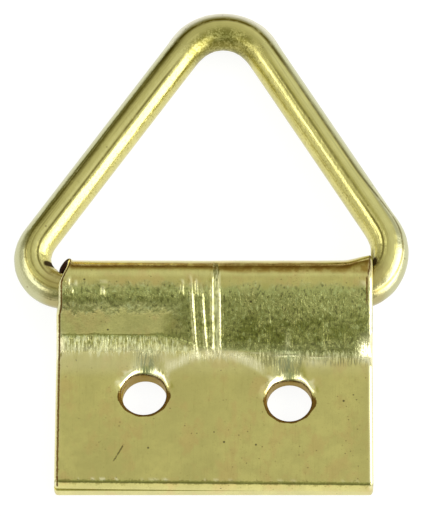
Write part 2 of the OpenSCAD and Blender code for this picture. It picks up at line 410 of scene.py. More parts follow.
def plate_points(p, x, q, outer):
    """A point of the plate's outer or inner skin: the strip's middle surface moved along its
    normal by half the thickness, with rolled edges, end notches and press marks. Returns the
    points and their distances from the sides, the hem and the holes' rims."""
    half_w, half = p.width / 2, p.thickness / 2
    start = q - p.bar_y
    y, z, ny, nz = strip_section(p, x, q)
    to_side = half_w - np.abs(x)
    to_hem = np.where(start < BARREL, q + p.back_hem, p.front_hem + y)
    rim = np.full_like(x, FAR)
    for hole_x, hole_y, (slip_x, slip_y) in zip(p.hole_x, p.hole_y, SLIPS):
        off = start < BARREL
        away = np.hypot(x - hole_x - slip_x * off, y - hole_y - slip_y * off)
        rim = np.minimum(rim, away - p.hole_d / 2)
    on_leaf = (start < BARREL) | (start > LEAF)
    rim = np.where(on_leaf, rim, FAR)
    front = start > FRONT

    # The rounded edges: the sides, the hem and the holes' rims, far sharper on the inner skin
    jag = 0.012 * np.sin(2.1 * x) + 0.009 * np.sin(5.3 * x + 1) + 0.005 * np.sin(9.7 * x + 2)
    hem_r = np.where(start > BARREL, 0.27 + jag, 0.12) if outer else 0.03
    rim_r = np.where(front & outer, p.rim_r, 0.005)
    depth = np.minimum(
        rounding(to_side, 0.24 if outer else 0.04, half), rounding(to_hem, hem_r, half)
    )
    depth = np.minimum(depth, rounding(np.maximum(rim, 0), rim_r, half))

    # The ends: narrow over the barrel, with a notch over the left mouth, deepest near the
    # crest, and a slight overhang on the right
    angle = bar_angle(p, y, z)
    inset = SETBACK * smooth(start, 0.0, 0.06) * (1 - smooth(start, 1.0, 1.5))
    over_crest = (start > CREST[0]) & (start < CREST[1])
    left_notch = 0.50 * hump(angle, 42, 62) * over_crest
    pull = np.where(x < 0, inset + left_notch, -0.03 * hump(angle, 30, 60) * over_crest)
    px = x - np.sign(x) * pull * smooth(to_side, 1.5, 0.0)

    # The barrel's edge flares at its right end and stands up a little at its left one
    flare = 0.30 * smooth(x, half_w - 1.7, half_w) * hump(angle, 28, 55)
    nub = 0.16 * smooth(-x, half_w - 0.55, half_w) * hump(angle, 30, 45)
    if outer:
        lift = depth + flare * over_crest + nub * over_crest
        # Marks and dishes on the front, whose crease is rolled over at its two ends
        lift = lift + pressed_height(x, y) * front * smooth(to_side, 0.05, 0.3)
        lift = lift - hole_dish(p, x, y) * (start > 2.5)
        lift = lift - 0.30 * crease_ends(x, y, to_side) * front
    else:
        # The press closed the leaves round the holes and along the hem
        hem_share = 0.75 + 0.25 * smooth(x, 7.5, -4.0)
        pressed = np.maximum(hump(rim, 0, 0.4), hump(to_hem, 0, 0.9) * hem_share)
        lift = flare * over_crest + nub * over_crest - (depth + 0.024 * pressed * on_leaf)
    y = y + lift * ny
    z = z + lift * nz
    if not outer:
        y = y - 0.085 * hump(to_hem, 0, 0.3) * (start > LEAF)

    # Hem corners are rounded, and the leaves hang a little askew from the fold
    cx = np.clip(HEM_CORNER - to_side, 0, HEM_CORNER)
    cy = np.clip(HEM_CORNER - to_hem, 0, HEM_CORNER)
    reach = np.maximum(np.hypot(cx, cy), 1e-9)
    trim = np.where(reach > 1e-9, 1 - np.maximum(cx, cy) / reach, 0)
    px = px - np.sign(x) * cx * trim
    y = y + cy * trim
    y = y - 0.0103 * px * (start > SLOPE) * smooth(y, 2.0, -5.3)
    px = px - 0.09 * np.clip((3.0 - y) / 8.3, 0, 1) * (x < 0)
    return np.stack([px - p.shift, y, z], -1), to_side, to_hem, rim


def painted_glint_share(p, x, y, to_side, to_hem):
    """Painted highlights, pale and nearly white: two patches on each hole's upper flanks, the
    crease's ends, the sides, the tops of the marks and dashes along the hem."""
    total = 3.0 * crease_ends(x, y, to_side) + 0.55 * smooth(to_side, 0.28, 0.18)
    for hole_x, hole_y, turns in zip(p.hole_x, p.hole_y, ((52, 128), (48, 118))):
        out = np.hypot(x - hole_x, y - hole_y) - p.hole_d / 2
        angle = np.degrees(np.arctan2(y - hole_y, x - hole_x))
        wide = 0.36 + 0.08 * np.sin(0.21 * angle) + 0.05 * np.sin(0.5 * angle)
        patch = np.maximum(hump(angle, turns[0], 36), hump(angle, turns[1], 36)) ** 0.5
        total = total + 0.95 * patch * smooth(out, wide + 0.10, wide - 0.08)
    broken = 0.45 + 0.35 * np.sin(4.1 * y + 2.0 * x) * np.sin(9.7 * y + 5.0 * x + 1)
    for mark in MARKS:
        if mark[4] > 0.025:
            total = total + broken * mark_shape(x, y, mark) ** 0.7
    # Patches at the foot of the slope, the pale ground about them, and an arch below it
    total = total + 0.50 * hump(x, -2.75, 0.75) * hump(y, 2.05, 0.85)
    total = total + 0.45 * hump(x, 5.6, 1.2) * hump(y, 2.05, 0.45)
    paler = 0.30 - 0.14 * smooth(x, -5.0, -2.0)
    total = total + paler * smooth(y, 1.0, 2.0) * smooth(y, 3.3, 2.9)
    arch = hump(y, 2.62 - 1.0 * (x / 2.75) ** 2, 0.50) * smooth(np.abs(x), 3.0, 2.4)
    total = total + 0.80 * (0.72 + 0.28 * np.sin(1.7 * x + 4.8)) * arch
    dashes = np.sin(9.1 * x) + 0.7 * np.sin(14.3 * x + 1) + 0.9 * np.sin(1.9 * x + 0.5)
    dashes = smooth(dashes, 0.5, 1.3) * (1 - 0.6 * smooth(x, -1.5, 1.0))
    return np.clip(total + dashes * hump(to_hem, 0.25, 0.12), 0, 1)


def rubbed_and_highlit_share(x, y):
    """Where the tool has rubbed the skin, with a painted highlight: a band along the crease, a
    fainter arch between the holes, the strip between the two right forming lines, and a patch left
    of the right hole."""
    ragged = 0.06 * np.sin(2.3 * x) + 0.05 * np.sin(5.1 * x + 1.3)
    right = smooth(x, -3.0, -0.6)
    low, top = 2.70 - 0.44 * right + ragged, 3.60 - 0.92 * right
    band = smooth(y, low - 0.45, low + 0.35) * smooth(y, top + 0.22, top - 0.18)
    arch = hump(y, 2.55 - 1.0 * (x / 2.75) ** 2, 0.45) * smooth(np.abs(x), 3.2, 2.6)
    strip = smooth(x, -0.12, -0.05) * smooth(x, 0.27, 0.20)
    strip = strip * smooth(y, 2.4, 2.7) * smooth(y, 7.6, 7.2)
    side = hump(x, 2.85, 0.95) ** 0.5 * smooth(y, 1.3, 1.9) * smooth(y, 3.0, 2.6)
    return np.max([band * (1 - 0.2 * right), 0.85 * strip, 0.6 * side, 0.45 * arch], 0)


def dragged_and_shaded_share(p, x, y):
    """Where the punch dragged the metal over each hole, from the crease down to the rim, and a
    painted dark reflection tints it grey-green.
    """
    ragged = 0.10 * np.sin(8.3 * x) + 0.06 * np.sin(19.0 * x + 1)
    tall = smooth(y, 1.0, 1.3) * smooth(y, 3.05 + ragged, 2.65 + ragged)
    left, right = p.hole_x
    return np.maximum(hump(x, left + 0.20, 0.95), hump(x, right - 0.05, 0.95)) ** 0.6 * tall


def rim_shade(p, x, y, rim):
    """Painted shade on the holes' rolled rims: broad on the lower half and the flanks, a thin line
    on the upper one."""
    hole_x, hole_y = np.where(x < 0, *p.hole_x), np.where(x < 0, *p.hole_y)
    low = smooth(y - hole_y, 0.5, -0.2)
    turn = np.arctan2(y - hole_y, x - hole_x)
    uneven = 0.85 + 0.15 * np.sin(3 * turn + x) * np.sin(7 * turn)
    uneven = 0.20 * (uneven + 0.3 * hump(np.degrees(turn), -8, 25))
    return low * smooth(rim, uneven + 0.04, uneven) + (1 - low) * 0.7 * hump(rim, 0.05, 0.06)


def plate_looks(p, x, start, places):
    """What the material looks up on the outer and the inner skin, by name."""
    outer, to_side, to_hem, rim = places
    y, z = outer[:, 1], outer[:, 2]
    none = np.zeros(len(x))
    front = start > FRONT
    painted_glint = np.where(front, painted_glint_share(p, x, y, to_side, to_hem), 0.10 * (to_hem < 0.02))
    bore = smooth(rim, 0.05, 0.012)
    # Dark lines along the barrel's two ends, painted shade on the holes' rims, and painted shade in
    # the left mouth's cut edge and inside it
    left = hump(np.where(x < 0, to_side, FAR), 0.17, 0.10)
    right = hump(np.where(x > 0, to_side, FAR), 0.32 - 0.15 * smooth(y, 6.0, 7.2), 0.07)
    ends = np.maximum(0.95 * left, right * smooth(y, 4.3, 5.3))
    over_crest = (start > CREST[0]) & (start < CREST[1])
    mouth_shade_share = 2 * over_crest * (x < 0) * smooth(bar_angle(p, y, z), 44, 34)
    dark_edges_and_shade = np.maximum(ends, rim_shade(p, x, y, rim)) * front
    dark_edges_and_shade = np.maximum(dark_edges_and_shade, mouth_shade_share * smooth(to_side, 0.14, 0.06))
    uneven = 0.018 * np.sin(4.7 * x) + 0.014 * np.sin(9.1 * x + 2)
    near_edge = np.minimum(np.minimum(to_side, to_hem), rim)
    on_barrel = (start > 0.03) & (start < 1.4)
    # The fold's insides are dull, and painted shade browns them
    dull_and_shaded = np.where(on_barrel, smooth(near_edge, 0.0, 0.04), smooth(near_edge, 0.25, 0.6))
    return {
        "inner": (none, dull_and_shaded),
        "painted_glint": (painted_glint, 0.10 * (to_hem < 0.02)),
        "bore": (bore, bore),
        "dark_edges_and_shade": (dark_edges_and_shade, mouth_shade_share),
        "rubbed_and_highlit": (rubbed_and_highlit_share(x, y) * front, none),
        "dragged_and_shaded": (dragged_and_shaded_share(p, x, y) * front, none),
        # Painted shade along the front hem's rounded edge
        "hem": (hump(to_hem + uneven, 0.13, 0.15) * front, none),
    }


def plate_mesh(p):
    """The whole skin: outer and inner sheets on one grid with four screw-hole patches, and walls
    that join them round the outside and through the holes."""
    col, row = plate_lines(p)
    x, q = (a.ravel() for a in np.meshgrid(col, row))
    ids = np.arange(len(x)).reshape(len(row), len(col))
    grid = ids, col, row, x, q
    xs, qs, quads, loops, count = [x], [q], [], [], len(x)
    holes = list(zip(p.hole_x, p.hole_y))
    patches = [((hx + dx, hy + dy), False) for (hx, hy), (dx, dy) in zip(holes, SLIPS)]
    patches += [(hole, True) for hole in holes]
    for centre, front in patches:
        loop, ring_x, ring_q = hole_patch(p, grid, centre, front)
        table = np.vstack([loop, count + np.arange(ring_x.size).reshape(ring_x.shape)])
        quads.append(grid_faces(np.hstack([table, table[:, :1]])))
        loops.append(table[-1, ::-1])
        xs.append(ring_x.ravel())
        qs.append(ring_q.ravel())
        count += ring_x.size
    quads.append(grid_faces(ids))
    loops.append(
        np.concatenate([ids[0, :-1], ids[:-1, -1], ids[-1, :0:-1], ids[:0:-1, 0]])
    )
    x, q, quads = (np.concatenate(parts) for parts in (xs, qs, quads))
    places = plate_points(p, x, q, True)
    inner = plate_points(p, x, q, False)[0]
    # Each wall is three bands, narrow at both edges, so that its shading turns sharply there
    walls, bands, total = [], [], 2 * count
    for loop in loops:
        steps = np.arange(len(loop))
        chain = [loop, total + steps, total + len(loop) + steps, loop + count]
        total += 2 * len(loop)
        bands += [(loop, 0.06), (loop, 0.94)]
        for a, b in zip(chain, chain[1:]):
            walls.append(np.stack([np.roll(a, -1), a, b, np.roll(b, -1)], -1))
    faces = np.concatenate([quads, quads[:, ::-1] + count, *walls])
    used = np.zeros(total, bool)
    used[faces] = True

    def both(a, b):
        """The rows of the two skins and the walls between them that some face uses."""
        between = [(1 - t) * a[loop] + t * b[loop] for loop, t in bands]
        return np.concatenate([a, b, *between])[used]

    looks = plate_looks(p, x, q - p.bar_y, places)
    looks = {name: both(*pair) for name, pair in looks.items()}
    return both(places[0], inner), (np.cumsum(used) - 1)[faces], looks


# ---- ring

# Each die line: from and to along the wire, degrees round it from the outward side, half
# width in degrees, depth in mm. The bends lie at 6.5 to 11.9, 25.2 to 31.5 and 43.3 to 49.5.
DIE_LINES = [
    (6, 25, 108, 4.0, 0.016),
    (4, 52, 62, 4.0, 0.014),
    (31, 50, 108, 5.0, 0.012),
    (6, 14, 84, 4.0, 0.010),
]
APEX = 28.3
RIGHT_BEND = 43.3
# Points round the wire.
AROUND = 96
# Each lower corner's heel radius, shoulder radius and the shoulder's share of the turn, the
# apex's radius, the gap between the wire's ends and its shift to the left, the barrel's mouths
# from the plate's middle, and the length over which a bend sets in.
BENDS = {
    "left_bend": (1.723, 2.037, 0.566), "right_bend": (1.916, 2.78, 0.519),
    "apex_r": 2.43, "butt_gap": 1.16, "butt_shift": 0.5, "mouth": 8.82, "ease": 0.4,
}


def near_tangent(r, turn, far_r, far_turn):
    """How far before the sharp corner a bend of two radii starts, on the first radius's side."""
    near, far = r * math.tan(turn / 2), far_r * math.tan(far_turn / 2)
    return near + (near + far) * math.sin(far_turn) / math.sin(turn + far_turn)


def lower_corner(p, bend, reach):
    """One lower corner of the ring, a tight heel by the bar and a wider shoulder above it,
    whose sharp corner lies at reach from the apex along the bar. Returns its inner angle, the
    heel and the shoulder as radius and turn, what they take of the bar, and the leg's rest."""
    angle, leg = math.atan2(p.apex_rise, reach), math.hypot(p.apex_rise, reach)
    turn, (heel_r, shoulder_r, share) = math.pi - angle, bend
    heel, shoulder = (heel_r, turn * (1 - share)), (shoulder_r, turn * share)
    on_bar, on_leg = near_tangent(*heel, *shoulder), near_tangent(*shoulder, *heel)
    return angle, heel, shoulder, on_bar, leg - on_leg


def ring_path(p):
    """The wire's centreline in its own plane: straights and arcs, as x from the plate's middle
    and rise above the bar, from the left cut end round to the right one."""
    reaches = p.left_corner + p.apex_x, p.right_corner - p.apex_x
    a, heel_a, shoulder_a, bar_a, leg_a = lower_corner(p, p.left_bend, reaches[0])
    b, heel_b, shoulder_b, bar_b, leg_b = lower_corner(p, p.right_bend, reaches[1])
    top = p.apex_r * math.tan((a + b) / 2)
    start = -p.butt_shift - p.butt_gap / 2
    # A straight's length, and the radius and turn of the bend after it
    wire = [
        (p.left_corner - bar_a + start, *heel_a),
        (0, *shoulder_a),
        (leg_a - top, p.apex_r, a + b),
        (leg_b - top, *shoulder_b),
        (0, *heel_b),
        (p.right_corner - bar_b - start - p.butt_gap, 0, 0),
    ]
    place, heading = np.array([start, 0.0]), math.pi
    points, headings = [], []
    for run, radius, turn in wire:
        if run > 0:
            ahead = np.array([math.cos(heading), math.sin(heading)])
            steps = spread(0, run, 0.22)[: -1 if radius else None]
            points.append(place + steps[:, None] * ahead)
            headings.append(np.full(len(steps), heading))
            place = place + run * ahead
        if radius:
            centre = place + radius * np.array([math.sin(heading), -math.cos(heading)])
            around = heading - spread(0, turn, 0.10 / radius)
            arc = centre - radius * np.stack([np.sin(around), -np.cos(around)], -1)
            points.append(arc[:-1])
            headings.append(around[:-1])
            place, heading = arc[-1], heading - turn
    return softened(np.concatenate(points), np.concatenate(headings), p.ease)


def distances(path):
    """How far along a path each of its points lies."""
    return np.concatenate([[0], np.cumsum(np.hypot(*np.diff(path, axis=0).T))])


def softened(path, headings, ease):
    """The same centreline with its curvature blurred over the length ease, as real bends are:
    the heading is blurred along the wire and summed up again, and the small miss at the end is
    shared out. Returns places, headings and curvatures, evenly spaced."""
    travelled = distances(path)
    even = spread(0, travelled[-1], 0.1)
    step = even[1] - even[0]
    reach = int(round(3 * ease / step))
    bell = np.exp(-0.5 * (np.arange(-reach, reach + 1) * step / ease) ** 2)
    bell /= bell.sum()
    heading = np.interp(even, travelled, headings)
    heading = np.convolve(np.pad(heading, reach, mode="edge"), bell, mode="valid")
    middle = (heading[1:] + heading[:-1]) / 2
    moves = np.stack([np.cos(middle), np.sin(middle)], -1) * step
    places = np.concatenate([path[:1], path[0] + np.cumsum(moves, 0)])
    places = places + (even / even[-1])[:, None] * (path[-1] - places[-1])
    return places, heading, -np.gradient(heading, step)


def wire_radius(p, bend, t, s):
    """The wire's radius at a turn t round it and a distance s along it: thinned and swollen in
    the bends, with long waves and grooves from the die."""
    radius = (
        p.wire_d / 2 - 0.0048 + 0.0024 * np.sin(9 * t + 0.4 + 0.010 * s)
        + 0.0016 * np.sin(16 * t + 2.0 - 0.02 * s) + 0.0008 * np.sin(27 * t + 1.1)
    )
    # Die lines: shallow grooves at their own angle round the wire, which drift at the bends
    for start, end, at, width, depth in DIE_LINES:
        drift = at + 1.5 * np.sin(0.35 * s + at)
        drift = drift + 7 * smooth(s, APEX - 5, APEX) * smooth(s, APEX + 5, APEX)
        drift = drift - 19 * smooth(s, RIGHT_BEND - 3, RIGHT_BEND + 1) * (at < 80)
        along = smooth(s, start - 0.8, start + 0.8) * smooth(s, end + 0.8, end - 0.8)
        radius = radius - depth * along * hump(np.degrees(t), drift, width)
    outward = np.cos(t)
    radius = radius - 0.035 * p.wire_d / 2 * bend * np.sin(t) ** 2
    radius = radius + np.where(s > 25, 0.10, 0.03) * bend * np.clip(outward, 0, 1) ** 2
    # The inner side of a sharp bend swells, and the tool leaves small flats and ripples
    radius = radius + 0.05 * bend**2 * np.clip(-outward, 0, 1) ** 2
    return radius + 0.006 * bend * np.sin(9.0 * s + 2 * t) * np.sin(3 * t + 1.7 * s)


def ring_mesh(p):
    """A round profile carried along the bent centreline. The profile thins a little round the
    bends, carries the die's long lines, and is pressed in where it passes the barrel's mouths."""
    path, heading, curve = ring_path(p)
    travelled = distances(path)
    bend = np.clip(curve * 2, 0, 1)
    turn = np.linspace(0, 2 * np.pi, AROUND, endpoint=False)[None, :]
    radius = wire_radius(p, bend[:, None], turn, travelled[:, None])
    x = path[:, :1] - np.sin(heading)[:, None] * radius * np.cos(turn)
    rise = path[:, 1:] + np.cos(heading)[:, None] * radius * np.cos(turn)
    height = radius * np.sin(turn)
    # Pressed in at the barrel's mouths, so that the bends turn clear of the plate's ends
    run_out = 0.42
    from_axis = np.hypot(rise, height)
    beyond = np.abs(x) - p.mouth
    room = run_out * np.clip(beyond / run_out + 1, 0, 1) ** 3
    room = p.wire_d / 2 + room + np.where(beyond > 0, FAR, 0)
    squeezed = (from_axis > room) & (np.abs(rise) < 2.6)
    squeeze = np.where(squeezed, room / np.maximum(from_axis, 1e-9), 1)
    points = np.stack([x, rise * squeeze, height * squeeze], -1)
    # Slightly domed ends, each drawn in to a pin-hole that a strip of quads then closes
    caps = []
    for index, sign in ((0, 1), (-1, -1)):
        centre = points[index].mean(0)
        for shrink, step in ((0.6, 0.05), (0.03, 0.06)):
            caps.append(centre + (points[index] - centre) * shrink + (sign * step, 0, 0))
    points = np.concatenate([[caps[1], caps[0]], points, caps[2:]])
    travelled, bend = (np.pad(values, 2, mode="edge") for values in (travelled, bend))
    table = np.arange(points.shape[0] * AROUND).reshape(-1, AROUND)
    quads = [grid_faces(np.hstack([table, table[:, :1]]))]
    for loop, flip in ((table[0], 1), (table[-1], -1)):
        a, b = loop[: AROUND // 2], loop[::-1][: AROUND // 2]
        quads.append(np.stack([a[:-1], a[1:], b[1:], b[:-1]], -1)[:, ::flip])
    quads = np.concatenate(quads)
    x, rise, height = points.reshape(-1, 3).T
    cos, sin = math.cos(p.lean), math.sin(p.lean)
    points = np.stack(
        [x - p.shift, p.bar_y + rise * cos + height * sin,
         p.bar_z - rise * sin + height * cos],
        -1,
    )
    # Where each corner lies along the wire and round it, the last column's end a whole turn on
    column = quads % AROUND
    wraps = (column.max(1) == AROUND - 1) & (column.min(1) == 0)
    column = np.where(wraps[:, None] & (column == 0), AROUND, column)
    uv = np.stack([travelled[quads // AROUND], column / AROUND], -1)
    # A dark nick in the left bend's inner side, and painted shade behind the barrel's right mouth
    # and on the wire by both mouths
    dark = hump(x, -9.14, 0.46) * hump(rise, 1.36 + 0.15 * (x + 9.2), 0.30)
    dark = dark + hump(x, 8.80, 0.32) * hump(rise, 1.45, 0.45)
    looks = {
        "bent": np.repeat(bend, AROUND),
        "mouth": smooth(np.abs(x), 9.9, 9.1) * smooth(rise, 1.7, 0.9),
        "dark": smooth(dark, 0.05, 0.4),
    }
    return points, quads, uv, looks


# ---- materials


class Value:
    """A number or a colour that nodes work out. Every sum on it adds one node. A plain number
    that is added, taken away or stepped between counts in its unit, a millimetre for lengths."""

    def __init__(self, socket, unit=1.0):
        self.socket, self.unit = socket, unit

    def maths(self, operation, other=0.0, clamp=False):
        """One sum with a second value."""
        settings = {"operation": operation, "use_clamp": clamp}
        node = add(self.socket.id_data, "ShaderNodeMath", settings, i0=self, i1=other)
        return Value(node.outputs[0], self.unit)

    def __add__(self, other):
        return self.maths("ADD", other if isinstance(other, Value) else other * self.unit)

    def __sub__(self, other):
        return self.maths("SUBTRACT", other if isinstance(other, Value) else other * self.unit)

    def __rsub__(self, other):
        tree = self.socket.id_data
        node = add(tree, "ShaderNodeMath", {"operation": "SUBTRACT"}, i0=other, i1=self)
        return Value(node.outputs[0])

    def __mul__(self, other):
        return self.maths("MULTIPLY", other)

    def larger(self, other):
        """The larger of two values."""
        return self.maths("MAXIMUM", other)

    def step(self, low, high, to_low=0.0, to_high=1.0):
        """A smooth step from to_low at low to to_high at high."""
        node = add(
            self.socket.id_data, "ShaderNodeMapRange", {"interpolation_type": "SMOOTHSTEP"},
            i0=self, i1=low * self.unit, i2=high * self.unit, i3=to_low, i4=to_high,
        )
        return Value(node.outputs[0])


def add(tree, kind, settings=None, **links):
    """Adds a node of that kind to a tree, with its settings and its linked or set inputs.
    An input is named by its label, or by i and its number."""
    node = tree.nodes.new(kind)
    for key, value in (settings or {}).items():
        setattr(node, key, value)
    for key, value in links.items():
        socket = node.inputs[int(key[1:]) if key[1:].isdigit() else key.replace("_", " ")]
        value = value.socket if isinstance(value, Value) else value
        if isinstance(value, bpy.types.NodeSocket):
            tree.links.new(value, socket)
        else:
            socket.default_value = value
    return node


def emptied(block):
    """The node tree of a new material or world, without its first nodes."""
    block.use_nodes = True
    block.node_tree.nodes.clear()
    return block.node_tree


def split(vector, count, unit=1.0):
    """The first numbers of a vector."""
    node = add(vector.id_data, "ShaderNodeSeparateXYZ", i0=vector)
    return [Value(socket, unit) for socket in node.outputs[:count]]


def ramp(source, stops):
    """A colour ramp with the given places and linear colours."""
    node = add(source.socket.id_data, "ShaderNodeValToRGB", i0=source)
    elements = node.color_ramp.elements
    ends = [stops[0], stops[-1]]
    for element, (place, colour) in zip(elements, ends):
        element.position = place
        element.color = (*colour, 1)
    for place, colour in stops[1:-1]:
        elements.new(place).color = (*colour, 1)
    return Value(node.outputs["Color"])


def mixed(share, a, b):
    """A blend of two colours, each worked out by nodes or given as linear values."""
    a, b = (c if isinstance(c, Value) else (*c, 1) for c in (a, b))
    node = add(share.socket.id_data, "ShaderNodeMix", {"data_type": "RGBA"}, i0=share, i6=a, i7=b)
    return Value(node.outputs[2])


def layered(tone, *layers):
    """The colour with others laid over it in turn, each as hex or linear values and a share."""
    for colour, share in layers:
        tone = mixed(share, tone, linear(colour) if isinstance(colour, str) else colour)
    return tone


def noise(vector, detail=3.0, rough=0.55):
    """Noise over a vector whose units are the noise's cells."""
    node = add(
        vector.id_data, "ShaderNodeTexNoise", i0=vector, Scale=1.0, Detail=detail, Roughness=rough
    )
    return Value(node.outputs[0])


def grain(where, cell_mm, detail=3.0, rough=0.55):
    """Noise whose cells measure so many millimetres along x, y and z."""
    scale = tuple(1 / (c * MM) for c in cell_mm)
    place = add(where.id_data, "ShaderNodeMapping", i0=where, Scale=scale)
    return noise(place.outputs[0], detail, rough)


def pits(where, apart_mm, edge, middle):
    """Small round specks, so many millimetres apart."""
    node = add(
        where.id_data, "ShaderNodeTexVoronoi", {"feature": "F1"}, i0=where,
        Scale=1 / (apart_mm * MM),
    )
    return Value(node.outputs[0]).step(edge, middle)


def looked_up(tree, *names):
    """Values that the piece carries on its points."""
    return [
        Value(add(tree, "ShaderNodeAttribute", {"attribute_name": name}).outputs["Fac"])
        for name in names
    ]


def tinted(brass, share):
    """The brass made darker or lighter by a share."""
    return tuple(min(1.0, c * share) for c in brass)


def metal_surface(tree, tone, rough, height, depth_mm):
    """Bare metal with the given colour and roughness, and fine relief of that depth."""
    bump = add(tree, "ShaderNodeBump", Strength=1.0, Distance=depth_mm * MM, Height=height)
    shader = add(
        tree, "ShaderNodeBsdfPrincipled", Base_Color=tone, Roughness=rough,
        Normal=bump.outputs[0], Metallic=1.0,
    )
    add(tree, "ShaderNodeOutputMaterial", Surface=shader.outputs[0])


